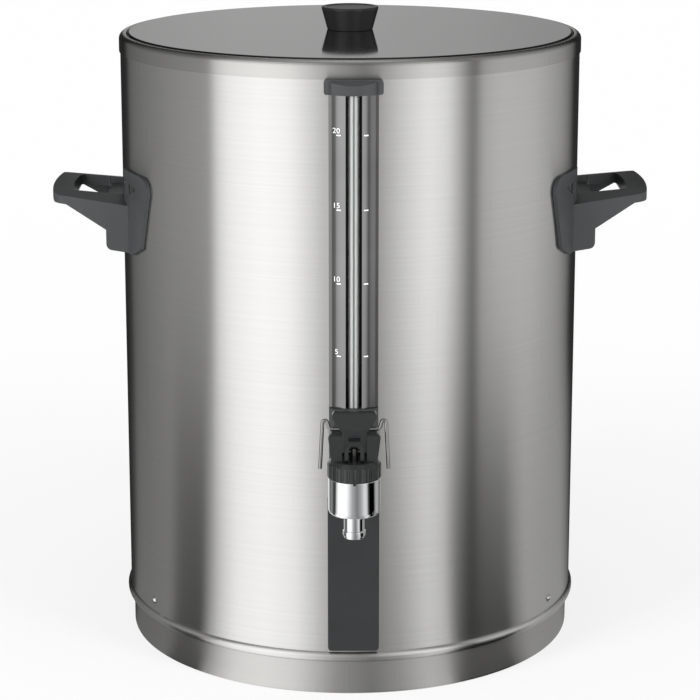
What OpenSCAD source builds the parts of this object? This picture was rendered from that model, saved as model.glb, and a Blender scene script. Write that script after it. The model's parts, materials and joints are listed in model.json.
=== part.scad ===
// Insulated coffee urn with a level gauge and a lever tap.
// Origin: centre of the flat bottom. +Z up, the tap faces -Y, millimetres.

/* [Body] */
// Outer diameter of the jacket
body_d = 380; // [340:5:460]
// Height of the rim above the floor
rim_z = 510; // [480:5:620]
// Sheet thickness of the jacket
shell_t = 1; // [0.8:0.1:1.5]
// How far the base skirt is set back from the jacket
skirt_inset = 2.5; // [1:0.5:10]
// Height of the base skirt, up to the lower edge of the jacket
skirt_h = 28.8; // [20:0.2:40]
// Radius of the rolled bead at the jacket's lower edge
bead_r = 4.3; // [3.5:0.1:6]
// How far the bead stands proud of the jacket
bead_proud = 2.7; // [2:0.1:3]
// Height of the rim band
collar_h = 14.4; // [12:0.2:20]
// Sheet thickness of the rim band
collar_t = 0.8; // [0.6:0.1:1]
// Width of the rim's top between its outside and the lid's seam
rim_w = 6; // [5.6:0.1:10]

/* [Tank] */
// Inner diameter of the tank
tank_d = 334; // [280:1:345]
// Sheet thickness of the tank
tank_t = 1; // [0.8:0.1:1.5]
// Height of the tank floor's edge above the ground
tank_floor_z = 231.6; // [220:0.1:260]
// How far the tank floor falls towards its middle
tank_fall = 15; // [5:1:25]
// Thickness of the insulation round the tank
insulation_t = 15; // [8:1:17]
// Outer diameter of the outlet pipe
pipe_d = 20; // [18:1:22]

/* [Lid] */
// Gap between lid and rim, seen as a dark seam
lid_gap = 0.7; // [0.5:0.1:1.5]
// How far the lid's top stands above the rim
lid_rise = 1; // [0:0.5:3]
// Thickness of the lid's sheet
lid_t = 1; // [0.8:0.1:1.5]
// Depth of the plug that hangs into the tank's mouth
lid_plug = 17; // [8:1:30]
// Diameter of the knob at its top
knob_top_d = 47; // [36:1:60]
// Diameter of the knob where it meets the lid
knob_foot_d = 37.5; // [26:0.5:50]
// Height of the knob
knob_h = 19; // [15:0.5:30]

/* [Handles] */
// How far the grip stands out from the jacket
grip_reach = 58; // [50:1:70]
// Width of the grip bar, measured outwards
grip_w = 17; // [14:1:22]
// Height of the handle's ridge where it meets the jacket
handle_z = 379.5; // [300:0.5:420]
// Rise of the handle towards its outer end, in degrees
handle_tilt = 5.1; // [0:0.1:8]
// Half the handle's length at its outer end
handle_half_out = 51.6; // [45:0.2:55]
// Half the handle's length at the jacket
handle_half_in = 64; // [58:1:68]
// Height of the foot box below the ridge
foot_h = 44.3; // [38:0.1:50]

/* [Gauge] */
// Width of the gauge holder
gauge_w = 38; // [34:1:44]
// How far the holder stands out from the jacket
gauge_proud = 16.5; // [15:0.5:20]
// Width of the groove that the tube stands in
groove_w = 12.4; // [11.6:0.2:13.4]
// Outer diameter of the glass tube
tube_d = 9; // [8:0.5:10]
// Bore of the glass tube
tube_bore = 6; // [4:0.5:7]
// Height of the cap on the holder
cap_h = 11; // [9:0.5:16]
// Width of the cap over its finger ears
cap_w = 45; // [40:1:52]
// Width of the cover strip below the tap
strip_w = 40.4; // [36:0.2:44]
// Thickness of the cover strip
strip_t = 3.4; // [2.4:0.2:5]

/* [Tap] */
// Distance from the jacket to the tap's axis
tap_reach = 42; // [40:1:60]
// Height of the inlet shank's axis
shank_z = 186; // [180:1:200]
// Outer diameter of the tap's chromed body
tap_d = 40; // [38:1:46]
// Height of the chromed body below the bonnet
tap_h = 29.3; // [27:0.1:36]
// Outer diameter of the bonnet over its ribs
bonnet_d = 41.2; // [40.4:0.2:48]
// Height of the bonnet's ribbed ring
bonnet_h = 14; // [12:0.5:18]
// Number of ribs round the bonnet
bonnet_ribs = 26; // [18:1:32]
// Outer diameter of the spout
spout_d = 16.4; // [14:0.2:18]
// Bore of the spout
spout_bore = 11.2; // [8:0.2:12]
// How far the spout hangs below the body
spout_drop = 19.5; // [14:0.5:30]
// Diameter of the valve stem
stem_d = 6; // [5:0.5:7]
// Width of the lever's paddle
paddle_w = 33.7; // [28:0.1:36]
// Thickness of the bail's wire
wire_d = 3; // [2.4:0.1:3.2]
// Turns of the valve spring
spring_turns = 5; // [4:1:6]

/* [Fits] */
// Gap between pieces that only rest side by side
rest_gap = 0.2; // [0.1:0.05:0.3]
// Gap between pieces that move past each other
move_gap = 0.3; // [0.25:0.05:0.5]
// Radial gap of a shaft in its hole
shaft_gap = 0.05; // [0.02:0.01:0.1]

/* [Hidden] */
$fn = 96;
far = 600;

// jacket and base
body_r = body_d / 2;
shell_in_r = body_r - shell_t;
bead_r0 = body_r + bead_proud - bead_r;
bead_z = skirt_h + bead_r;
skirt_r = body_r - skirt_inset;
pan_t = 1;
upstand_r = shell_in_r - move_gap;
upstand_z = 62;
base_screw_z = 46;
base_screw_angles = [-90 - 60, -90 + 60, 90];

// rim, tank and lid
flange_z = rim_z - collar_t - 10;
shell_top = flange_z - tank_t;
seat_z = flange_z + collar_t;
seam_r = body_r + 1 - rim_w;
seat_in_r = seam_r - 7;
tank_r = tank_d / 2;
tank_out_r = tank_r + tank_t;
floor_mid_z = tank_floor_z - tank_fall;
floor_t = 1.2;
pipe_r = pipe_d / 2;
pipe_t = 1.5;
bend_r = 24;
pipe_flange = 2.5;
lid_r = seam_r - lid_gap;
lid_z = rim_z + lid_rise;
lid_skirt_z = seat_z + 2.5;
liner_t = 0.8;
liner_z = lid_skirt_z - liner_t;
liner_floor_z = liner_z - lid_plug + liner_t;
liner_r = tank_r - 2;

// fasteners
m3_r = 1.5;
m4_r = 1.95;
m5_r = 2.5;
clear = 0.25;

// handles
handle_wall = 3.5;
foot_z = handle_z - foot_h;
foot_out = body_r + 10.5;
foot_out_z = foot_z + 18.7;
grip_r = body_r + grip_reach;
bar_in = grip_r - grip_w;
under_z = handle_z - 8.5;
ledge_z = handle_z - 5;
ridge_half = 38;
ridge_slope = 0.165;
opening_half = ridge_half - 0.6;
boss_r = 4.5;
boss_turn = 13;
boss_z = [foot_z + 11, foot_z + 27];
plate_t = 2;
plate_turn = 20;
fin_r = body_r + 2.8;

// gauge
holder_front_r = 33;
gauge_front = body_r + gauge_proud;
tube_r = tube_d / 2;
tube_y = gauge_front - 7.3;
tube_seat_z = shank_z + 42;
groove_back = tube_y - groove_w / 2;
cap_top_z = rim_z - 13.5;
cap_z = cap_top_z - cap_h;
tube_top_z = cap_z + 5.5;
base_top_z = shank_z + 56.5;
base_bottom_z = shank_z - 20;
base_front = gauge_front + 0.5;
tee_seal_y = [tube_y - 4.7, tube_y + 4.9];
seal_t = 1.5;
gauge_screw_z = [base_top_z + 57.5, cap_z - 45.5];
peg_z = [70, 140];
peg_r = 3;
strip_bottom_z = bead_z + 6.4;
strip_top_z = base_bottom_z - 0.5;

// tap, measured from its own axis
tap_y = body_r + tap_reach;
tap_r = tap_d / 2;
bonnet_r = bonnet_d / 2;
body_top_z = shank_z + 10.8;
body_bottom_z = body_top_z - tap_h;
web_z = body_bottom_z + 7.5;
neck_r = 17.2;
neck_top_z = body_top_z + 9.2;
chamber_r = 14;
shank_r = 10;
shank_bore = 6.5;
shank_end = body_r - 29.7;
pipe_end = shank_end - 2;
washer_y = body_r - 3;
spout_r = spout_d / 2;
lip_z = web_z + 2;
spout_screw_angle = -90 + 48;
bonnet_z = body_top_z + 0.3;
bonnet_top_z = bonnet_z + bonnet_h;
deck_z = bonnet_top_z - 1.5;
deck_under_z = neck_top_z + 1;
cheek_in = 9.5;
cheek_top_z = bonnet_top_z + 21.5;
pin_z = deck_z + 7;
stem_r = stem_d / 2;
cup_z = lip_z + move_gap;
cup_top_z = cup_z + 9.7;
spring_r = 8;
spring_wire = 0.8;
leg_out = 7.5;
leg_in = 4.6;
lever_top_z = pin_z + 33.5;
wire_r = wire_d / 2;
bail_y = 4;
bail_z = cheek_top_z + 3.2;

// ---- shared shapes ----

function unit(v) = v / norm(v);

// Points of a round corner at b, between the edges to a and c
function corner(a, b, c, r, n) =
    let (
        u = unit(a - b),
        v = unit(c - b),
        half = acos(u * v) / 2,
        centre = b + unit(u + v) * r / sin(half),
        start = b + u * r / tan(half) - centre,
        turn = (cross(u, v) > 0 ? -1 : 1) * (180 - 2 * half),
        first = atan2(start.y, start.x)
    )
    [for (i = [0:n]) centre + r * [cos(first + turn * i / n), sin(first + turn * i / n)]];

// Outline with its corners rounded: each point is [x, y, corner radius]
function rounded(points, n = 6) =
    let (count = len(points))
    [for (i = [0:count - 1])
        let (
            a = points[(i + count - 1) % count],
            b = points[i],
            c = points[(i + 1) % count]
        )
        each b[2] > 0
            ? corner([a[0], a[1]], [b[0], b[1]], [c[0], c[1]], b[2], n)
            : [[b[0], b[1]]]
    ];

// Points of an arc round centre, from one angle to another
function arc(centre, r, from, to, n = 8) =
    [for (i = [0:n])
        let (a = from + (to - from) * i / n)
        centre + r * [cos(a), sin(a)]];

// Ring round the z axis
module ring(r_out, r_in, z0, z1) {
    translate([0, 0, z0])
        difference() {
            cylinder(r = r_out, h = z1 - z0);
            translate([0, 0, -1]) cylinder(r = r_in, h = z1 - z0 + 2);
        }
}

// Everything at the front, looking along -Y: local +Z points away from the urn
module facing_front(y, z) {
    translate([0, -y, z]) rotate([90, 0, 0]) children();
}

// Local +Z points outwards from the urn's axis at this angle
module facing_out(angle, r, z) {
    rotate([0, 0, angle]) translate([r, 0, z]) rotate([0, 90, 0]) children();
}

module at_tap() {
    translate([0, -tap_y, 0]) children();
}

// A plan outline raised between two heights
module raised(z0, z1) {
    translate([0, 0, z0]) linear_extrude(z1 - z0) children();
}

// A front outline (x, z) given depth along Y
module deep(y0, y1) {
    translate([0, y1, 0]) rotate([90, 0, 0]) linear_extrude(y1 - y0) children();
}

// A side outline (y, z) given width along X
module wide(x0, x1) {
    translate([x0, 0, 0]) rotate([90, 0, 90]) linear_extrude(x1 - x0) children();
}

// ---- jacket, rim and base ----

module shell_profile() {
    start = acos((body_r - bead_r0) / bead_r);
    inner_start = acos((shell_in_r - bead_r0) / (bead_r - shell_t));
    lip = 80;
    polygon(concat(
        [[body_r, shell_top]],
        arc([bead_r0, bead_z], bead_r, start, -lip, 14),
        arc([bead_r0, bead_z], bead_r - shell_t, -lip, inner_start, 14),
        [[shell_in_r, shell_top]]
    ));
}

module shell_holes() {
    facing_front(body_r - 8, shank_z) cylinder(r = shank_r + clear, h = 16);
    for (z = gauge_screw_z)
        facing_front(body_r - 8, z) cylinder(r = m3_r + clear, h = 16);
    for (z = peg_z)
        facing_front(body_r - 8, z) cylinder(r = peg_r + shaft_gap, h = 16);
    for (side = [0, 180], turn = [-1, 1], z = boss_z)
        facing_out(side + turn * boss_turn, body_r - 8, z)
            cylinder(r = m4_r + clear, h = 16);
    for (angle = base_screw_angles)
        facing_out(angle, body_r - 8, base_screw_z)
            cylinder(r = m4_r + clear, h = 16);
}

module outer_shell() {
    color("silver")
        difference() {
            rotate_extrude($fn = 180) shell_profile();
            shell_holes();
        }
}

module top_collar() {
    band_r = body_r + 1;
    band_in = band_r - collar_t;
    color("gainsboro")
        rotate_extrude($fn = 180)
            polygon(rounded([
                [band_r, rim_z - collar_h, 0],
                [band_r, rim_z, 4.5],
                [seam_r, rim_z, 0.7],
                [seam_r, seat_z, 0],
                [seat_in_r, seat_z, 0],
                [seat_in_r, flange_z, 0],
                [seam_r + collar_t, flange_z, 0],
                [seam_r + collar_t, rim_z - collar_t, 0],
                [band_in, rim_z - collar_t, 3.7],
                [band_in, rim_z - collar_h, 0]
            ]));
}

module base_pan() {
    color("silver")
        difference() {
            rotate_extrude($fn = 180)
                polygon(rounded([
                    [0, 0, 0],
                    [skirt_r, 0, 2.5],
                    [skirt_r, skirt_h - 1.2, 0],
                    [upstand_r, skirt_h - 0.2, 0],
                    [upstand_r, upstand_z, 0],
                    [upstand_r - pan_t, upstand_z, 0],
                    [upstand_r - pan_t, skirt_h + 0.3, 0],
                    [skirt_r - pan_t, skirt_h - 0.7, 0],
                    [skirt_r - pan_t, 1.2, 1.5],
                    [0, 1.2, 0]
                ]));
            for (angle = base_screw_angles)
                facing_out(angle, upstand_r - 8, base_screw_z)
                    cylinder(r = m4_r + clear, h = 16);
        }
}

// Round-head screw, its head's underside at z = 0 and its shank below
module round_head(head_r, head_h, shank, length) {
    cap_r = (head_r * head_r + head_h * head_h) / (2 * head_h);
    edge = acos((cap_r - head_h) / cap_r);
    rotate_extrude($fn = 48)
        polygon(concat(
            [[0, -length], [shank, -length], [shank, 0]],
            arc([0, head_h - cap_r], cap_r, 90 - edge, 90, 6)
        ));
}

module base_screws() {
    color("silver")
        for (angle = base_screw_angles)
            facing_out(angle, body_r + 0.1, base_screw_z)
                round_head(3.2, 2, m4_r, 8);
}

module base_nuts() {
    nut_h = 3.2;
    color("darkgray")
        for (angle = base_screw_angles)
            facing_out(angle, upstand_r - pan_t - rest_gap - nut_h, base_screw_z)
                difference() {
                    cylinder(r = 4.04, h = nut_h, $fn = 6);
                    translate([0, 0, -1]) cylinder(r = m4_r + shaft_gap, h = nut_h + 2);
                }
}

// ---- tank, insulation and outlet ----

module tank_wall() {
    color("lightgray")
        rotate_extrude($fn = 180)
            polygon(rounded([
                [tank_r, tank_floor_z, 0],
                [tank_out_r, tank_floor_z, 0],
                [tank_out_r, shell_top, 1],
                [body_r, shell_top, 0],
                [body_r, flange_z, 0],
                [tank_r, flange_z, 2]
            ]));
}

module tank_floor() {
    flat_r = tank_r - 1;
    hole_r = pipe_r + shaft_gap;
    color("lightgray")
        rotate_extrude($fn = 180)
            polygon([
                [hole_r, floor_mid_z],
                [flat_r, tank_floor_z],
                [tank_out_r, tank_floor_z],
                [tank_out_r, tank_floor_z - floor_t],
                [flat_r, tank_floor_z - floor_t],
                [hole_r, floor_mid_z - floor_t]
            ]);
}

module insulation_jacket() {
    color("khaki")
        ring(
            tank_out_r + move_gap + insulation_t, tank_out_r + move_gap,
            tank_floor_z + 1, shell_top - 4
        );
}

module insulation_base() {
    under = floor_t + move_gap;
    hole_r = pipe_r + 4;
    slope = tank_fall / (tank_r - 1 - pipe_r);
    color("khaki")
        rotate_extrude($fn = 120)
            polygon([
                [hole_r, floor_mid_z + slope * (hole_r - pipe_r) - under],
                [tank_r - 4, tank_floor_z - slope * 3 - under],
                [tank_r - 4, floor_mid_z - 6],
                [hole_r + 12, floor_mid_z - 12],
                [hole_r, floor_mid_z - 12]
            ]);
}

// Down from the tank floor, round a quarter bend and forward to the union
module pipe_route(r, past) {
    drop = floor_mid_z - shank_z - bend_r;
    translate([0, 0, shank_z + bend_r]) cylinder(r = r, h = drop + past);
    translate([0, -bend_r, shank_z + bend_r])
        rotate([-90, 0, 90])
            rotate_extrude(angle = 90) translate([bend_r, 0]) circle(r = r);
    facing_front(bend_r, shank_z) cylinder(r = r, h = pipe_end - bend_r + past);
}

module outlet_pipe() {
    color("silver")
        difference() {
            union() {
                pipe_route(pipe_r, 0);
                facing_front(pipe_end - pipe_flange, shank_z)
                    cylinder(r = pipe_r + 2.5, h = pipe_flange);
            }
            pipe_route(pipe_r - pipe_t, 3);
        }
}

module union_seal() {
    color("darkslategray")
        facing_front(pipe_end, shank_z)
            ring(pipe_r, 7, 0, shank_end - pipe_end - 0.1);
}

module union_nut() {
    nut_r = 17.32;
    shoulder = pipe_end - pipe_flange - 0.1;
    back = shoulder - 2.4;
    front = shank_end + 14;
    color("goldenrod")
        facing_front(back, shank_z)
            difference() {
                cylinder(r = nut_r, h = front - back, $fn = 6);
                translate([0, 0, -1])
                    cylinder(r = pipe_r + 0.1, h = shoulder - back + 2);
                translate([0, 0, shoulder - back])
                    cylinder(r = pipe_r + 2.6, h = shank_end - shoulder);
                translate([0, 0, shank_end - back - 1])
                    cylinder(r = shank_r + shaft_gap, h = front - back);
            }
}

// ---- handles, drawn for the side at +X ----

// Follows the handle's rise towards its outer end
module rising() {
    translate([body_r, 0, handle_z])
        rotate([0, -handle_tilt, 0])
            translate([-body_r, 0, -handle_z])
                children();
}

function half_at(x, inset) =
    let (outer_x = grip_r * cos(asin(handle_half_out / grip_r)))
    handle_half_in - inset
        + (handle_half_out - handle_half_in) * (x - (body_r - 10)) / (outer_x - (body_r - 10));

module handle_plan() {
    end = asin(handle_half_out / grip_r);
    edge = arc([0, 0], grip_r, -end, end, 8);
    back_x = body_r - 30;
    polygon(rounded([
        [back_x, -half_at(back_x, 0), 0],
        [edge[0].x, edge[0].y, 9],
        each [for (i = [1:7]) [edge[i].x, edge[i].y, 0]],
        [edge[8].x, edge[8].y, 9],
        [back_x, half_at(back_x, 0), 0]
    ]));
}

module handle_side() {
    top = handle_z + 40;
    back_x = body_r - 25;
    foot_rise = 0.12;
    polygon(rounded([
        [back_x, foot_z - foot_rise * (body_r - 10 - back_x), 0],
        [foot_out, foot_z + foot_rise * 20, 5],
        [foot_out, foot_out_z, 0],
        [grip_r - 14.7, handle_z - 5.5, 2],
        [grip_r + 2, handle_z - 3.5, 3],
        [grip_r + 2, top, 0],
        [back_x, top, 0]
    ]));
}

module handle_roof() {
    low = handle_z - 80;
    reach = 90;
    drop = (reach - ridge_half) * ridge_slope;
    rising()
        wide(body_r - 40, grip_r + 20)
            polygon([
                [-reach, low],
                [-reach, handle_z - drop],
                [-ridge_half, handle_z],
                [ridge_half, handle_z],
                [reach, handle_z - drop],
                [reach, low]
            ]);
}

// Rounds the grip's upper outer edge
module handle_rim() {
    top = handle_z + (grip_r - body_r) * tan(handle_tilt) + 0.1;
    rotate([0, 0, -30])
        rotate_extrude(angle = 60, $fn = 120)
            polygon(rounded([
                [body_r - 35, handle_z - 90, 0],
                [grip_r, handle_z - 90, 0],
                [grip_r, top, 4],
                [body_r - 35, handle_z + 25, 0]
            ]));
}

module grip_hole() {
    end = 9;
    edge = arc([0, 0], bar_in, -end, end, 6);
    raised(foot_z - 20, handle_z + 30)
        polygon(rounded([
            [foot_out + 2.5, -opening_half, 3],
            [edge[0].x, edge[0].y, 6],
            each [for (i = [1:5]) [edge[i].x, edge[i].y, 0]],
            [edge[6].x, edge[6].y, 6],
            [foot_out + 2.5, opening_half, 3]
        ]));
}

// The open space below the top plate, between the two gusset walls
module under_space() {
    near = foot_out;
    far_x = bar_in - 2;
    rising()
        raised(foot_z - 30, under_z)
            polygon([
                [near, -half_at(near, handle_wall)],
                [far_x, -half_at(far_x, handle_wall)],
                [far_x, half_at(far_x, handle_wall)],
                [near, half_at(near, handle_wall)]
            ]);
}

module foot_space() {
    inner = foot_out - 3;
    translate([body_r - 40, -handle_half_in + 5.5, foot_z + 4])
        cube([inner - body_r + 40, 2 * handle_half_in - 11, under_z - foot_z - 4]);
}

// Plate on the jacket beside the handle's root, with a window in its upper lobe
module fin() {
    module outline() {
        polygon(rounded([
            [handle_half_in - 12, handle_z + 24.5, 0],
            [handle_half_in + 38, handle_z + 24, 11],
            [handle_half_in + 38, handle_z + 11, 14],
            [handle_half_in + 26, foot_z + 8, 7],
            [handle_half_in + 8, foot_z, 4],
            [handle_half_in - 8, foot_z, 0],
            [handle_half_in - 12, handle_z - 10, 0]
        ]));
    }
    module window() {
        polygon(rounded([
            [handle_half_in - 8, handle_z + 15.5, 1.5],
            [handle_half_in + 22, handle_z + 12.5, 1],
            [handle_half_in - 4, handle_z + 1.5, 1.5]
        ]));
    }
    intersection() {
        wide(body_r - 60, body_r + 10)
            difference() {
                outline();
                window();
            }
        cylinder(r = fin_r, h = far, $fn = 180);
    }
}

module handle() {
    color("dimgray")
        difference() {
            union() {
                difference() {
                    intersection() {
                        raised(foot_z - 20, handle_z + 30) handle_plan();
                        deep(-handle_half_in - 20, handle_half_in + 20) handle_side();
                        handle_roof();
                        handle_rim();
                    }
                    grip_hole();
                    under_space();
                    foot_space();
                    translate([body_r - 30, -opening_half, ledge_z])
                        cube([foot_out + 4 - body_r + 30, 2 * opening_half, 40]);
                }
                for (turn = [-1, 1], z = boss_z)
                    facing_out(turn * boss_turn, body_r - 4, z)
                        cylinder(r = boss_r, h = 16, $fn = 48);
                fin();
                mirror([0, 1, 0]) fin();
            }
            cylinder(r = body_r + rest_gap, h = far, $fn = 180);
            for (turn = [-1, 1], z = boss_z)
                facing_out(turn * boss_turn, body_r - 4, z)
                    cylinder(r = m4_r + shaft_gap, h = 14, $fn = 48);
        }
}

module handle_left() {
    mirror([1, 0, 0]) handle();
}

module handle_right() {
    handle();
}

module handle_plates() {
    plate_out = shell_in_r - rest_gap;
    color("silver")
        for (side = [0, 180])
            rotate([0, 0, side])
                difference() {
                    rotate([0, 0, -plate_turn])
                        rotate_extrude(angle = 2 * plate_turn, $fn = 180)
                            translate([plate_out - plate_t, foot_z + 3])
                                square([plate_t, 34]);
                    for (turn = [-1, 1], z = boss_z)
                        facing_out(turn * boss_turn, body_r - 12, z)
                            cylinder(r = m4_r + clear, h = 16, $fn = 48);
                }
}

module handle_screws() {
    head = shell_in_r - rest_gap - plate_t - 0.05;
    head_h = 2.5;
    color("silver")
        for (side = [0, 180], turn = [-1, 1], z = boss_z)
            facing_out(side + turn * boss_turn, head - head_h, z) {
                cylinder(r = 3.8, h = head_h, $fn = 48);
                cylinder(r = m4_r, h = head_h + 12, $fn = 48);
            }
}

// ---- level gauge and cover strip ----

// Plan of the holder: a convex front, bevelled edges and straight sides
module holder_plan() {
    half = gauge_w / 2;
    bevel = 2.5;
    side_y = gauge_front - 8;
    intersection() {
        polygon([
            [-half, -body_r + 4],
            [-half, -side_y],
            [-half + bevel, -side_y - 3.6],
            [0, -gauge_front - 10],
            [half - bevel, -side_y - 3.6],
            [half, -side_y],
            [half, -body_r + 4]
        ]);
        translate([0, -gauge_front + holder_front_r]) circle(r = holder_front_r, $fn = 120);
    }
}

module hug_shell() {
    cylinder(r = body_r + rest_gap, h = far, $fn = 180);
}

module gauge_holder() {
    color("dimgray")
        difference() {
            raised(base_top_z + 0.2, cap_z) holder_plan();
            hug_shell();
            translate([0, -tube_y, 0]) cylinder(r = groove_w / 2, h = far);
            translate([-groove_w / 2, -gauge_front - 5, 0])
                cube([groove_w, gauge_front + 5 - tube_y, far]);
            for (z = gauge_screw_z)
                facing_front(body_r - 2, z) {
                    cylinder(r = m3_r + 0.1, h = 10);
                    translate([0, 0, groove_back - body_r + 2 - 1.6])
                        cylinder(r1 = m3_r + 0.1, r2 = 3.1, h = 1.6);
                }
        }
}

module gauge_tube() {
    color("lightcyan", 0.4)
        translate([0, -tube_y, 0])
            ring(tube_r, tube_bore / 2, tube_seat_z, tube_top_z);
}

module gauge_upper_seal() {
    color("black")
        translate([0, -tube_y, 0])
            ring(tube_r + 0.7, tube_r + 0.02, tube_top_z - 4, tube_top_z - 1);
}

module gauge_lower_seal() {
    color("black")
        translate([0, -tube_y, 0])
            ring(tube_r + seal_t, tube_r + 0.02, base_top_z - 6, base_top_z);
}

module gauge_cap() {
    ear_back = body_r + 1 + 0.4;
    ear_front = gauge_front - 6.5;
    half = cap_w / 2;
    color("dimgray")
        difference() {
            union() {
                intersection() {
                    raised(cap_z, cap_top_z) holder_plan();
                    wide(-half, half)
                        polygon([
                            [-ear_back, cap_z],
                            [-ear_back, cap_top_z],
                            [-gauge_front + 8, cap_top_z],
                            [-gauge_front - 0.2, cap_top_z - 3.7],
                            [-gauge_front - 1, cap_z]
                        ]);
                }
                deep(-ear_front, -ear_back)
                    polygon(rounded([
                        [-half, cap_z, 2],
                        [half, cap_z, 2],
                        [half, cap_top_z, 2.5],
                        [-half, cap_top_z, 2.5]
                    ]));
            }
            translate([0, -tube_y, cap_z - 1])
                cylinder(r = tube_r + 0.7 + move_gap, h = 8);
        }
}

module gauge_base() {
    half = gauge_w / 2;
    color("dimgray")
        difference() {
            raised(base_bottom_z, base_top_z)
                polygon([
                    [-half, -body_r + 4],
                    [-half, -base_front + 4],
                    [-half + 4, -base_front],
                    [half - 4, -base_front],
                    [half, -base_front + 4],
                    [half, -body_r + 4]
                ]);
            hug_shell();
            facing_front(body_r - 5, shank_z) cylinder(r = shank_r + 0.1, h = 40);
            for (y = tee_seal_y)
                facing_front(y - 1.2, shank_z) cylinder(r = shank_r + 2.1, h = 2.4);
            translate([0, -tube_y, 0]) {
                raised(shank_z, base_top_z + 1) circle(r = tube_bore / 2);
                raised(tube_seat_z, base_top_z + 1) circle(r = tube_r + shaft_gap);
                raised(base_top_z - 6, base_top_z + 1) circle(r = tube_r + seal_t + 0.02);
            }
        }
}

module tee_seals() {
    color("black")
        for (y = tee_seal_y)
            facing_front(y, shank_z)
                rotate_extrude() translate([shank_r + 1.05, 0]) circle(r = 1, $fn = 24);
}

module gauge_screws() {
    color("silver")
        for (z = gauge_screw_z)
            facing_front(groove_back - 1.6, z) {
                cylinder(r1 = m3_r, r2 = 3, h = 1.6, $fn = 48);
                translate([0, 0, -8]) cylinder(r = m3_r, h = 8, $fn = 48);
            }
}

module gauge_nuts() {
    nut_h = 2.6;
    color("goldenrod")
        for (z = gauge_screw_z)
            facing_front(shell_in_r - rest_gap - nut_h, z)
                difference() {
                    cylinder(r = 3.2, h = nut_h, $fn = 6);
                    translate([0, 0, -1])
                        cylinder(r = m3_r + shaft_gap, h = nut_h + 2, $fn = 48);
                }
}

module cover_strip() {
    half = strip_w / 2;
    front = body_r + strip_t + 0.2;
    color("dimgray") {
        difference() {
            intersection() {
                deep(-front, -body_r + 4)
                    polygon(rounded([
                        [-half, strip_bottom_z, 3],
                        [half, strip_bottom_z, 3],
                        [half, strip_top_z, 0],
                        [-half, strip_top_z, 0]
                    ]));
                raised(0, far)
                    polygon([
                        [-half, -body_r + 4],
                        [-half, -front + 0.8],
                        [-half + 0.8, -front],
                        [half - 0.8, -front],
                        [half, -front + 0.8],
                        [half, -body_r + 4]
                    ]);
            }
            hug_shell();
        }
        for (z = peg_z)
            facing_front(body_r - 5, z) cylinder(r = peg_r, h = 6.5, $fn = 48);
    }
}

// ---- tap ----

module tap_body() {
    color("whitesmoke")
        difference() {
            union() {
                at_tap()
                    rotate_extrude()
                        polygon(rounded([
                            [spout_r + shaft_gap, body_bottom_z, 0],
                            [tap_r, body_bottom_z, 4],
                            [tap_r, body_top_z, 0.4],
                            [neck_r, body_top_z, 0],
                            [neck_r, neck_top_z, 0],
                            [chamber_r, neck_top_z, 0],
                            [chamber_r, web_z, 2],
                            [spout_r + shaft_gap, web_z, 0]
                        ]));
                difference() {
                    union() {
                        facing_front(base_front + 0.1, shank_z)
                            cylinder(r = 13, h = tap_y - base_front - 13);
                        facing_front(shank_end, shank_z)
                            cylinder(r = shank_r, h = tap_y - shank_end - 17);
                    }
                    at_tap() cylinder(r = chamber_r + 1, h = far);
                    translate([-20, -tap_y, body_top_z]) cube([40, tap_reach, 20]);
                }
            }
            facing_front(shank_end - 1, shank_z)
                cylinder(r = shank_bore, h = tap_y - shank_end - 8);
            translate([0, -tube_y, shank_z]) cylinder(r = tube_bore / 2, h = 20);
            spout_screw_way() cylinder(r = 2 + shaft_gap, h = 30);
        }
}

// Local +Z runs outwards from the tap's axis along the small screw
module spout_screw_way() {
    at_tap()
        rotate([0, 0, spout_screw_angle])
            translate([spout_r + 0.1, 0, body_bottom_z + 3.7])
                rotate([0, 90, 0])
                    children();
}

module spout_screw() {
    length = tap_r - spout_r - 1;
    color("gray")
        spout_screw_way()
            difference() {
                cylinder(r = 2, h = length, $fn = 48);
                translate([0, 0, length - 1.4]) cylinder(r = 1, h = 3, $fn = 6);
            }
}

module spout() {
    mouth_z = body_bottom_z - spout_drop;
    bore = spout_bore / 2;
    color("whitesmoke")
        at_tap()
            rotate_extrude()
                polygon(rounded([
                    [bore, mouth_z, 0.6],
                    [spout_r - 0.2, mouth_z, 0.8],
                    [spout_r - 0.2, mouth_z + 1.6, 0],
                    [spout_r + 0.6, mouth_z + 2.2, 0.6],
                    [spout_r + 0.6, mouth_z + 5.6, 0.6],
                    [spout_r - 0.2, mouth_z + 6.4, 0],
                    [spout_r - 0.2, body_bottom_z - 0.6, 0],
                    [spout_r, body_bottom_z, 0],
                    [spout_r, lip_z - 1.2, 0],
                    [bore + 1, lip_z, 0.4],
                    [bore, lip_z, 0]
                ]));
}

module shank_washer() {
    color("black")
        intersection() {
            facing_front(washer_y, shank_z) ring(16, shank_r + 0.1, 0, 6);
            cylinder(r = shell_in_r - 0.05, h = far, $fn = 720);
        }
}

module shank_nut() {
    nut_h = 6;
    color("goldenrod")
        facing_front(washer_y - nut_h, shank_z)
            difference() {
                cylinder(r = 16, h = nut_h, $fn = 6);
                translate([0, 0, -1]) cylinder(r = shank_r + shaft_gap, h = nut_h + 2);
            }
}

module cheek() {
    depth = 9;
    intersection() {
        deep(-depth, depth)
            polygon(rounded([
                [cheek_in, deck_z - 1, 0],
                [17.3, deck_z - 1, 0],
                [17.8, bonnet_top_z + 2, 0],
                [20.3, cheek_top_z, 3],
                [cheek_in, cheek_top_z, 1]
            ]));
        wide(0, 30)
            polygon(rounded([
                [-depth, deck_z - 2, 0],
                [-depth, cheek_top_z, 3.5],
                [depth, cheek_top_z, 3.5],
                [depth, deck_z - 2, 0]
            ]));
        cylinder(r = 21.5, h = far);
    }
}

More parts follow.
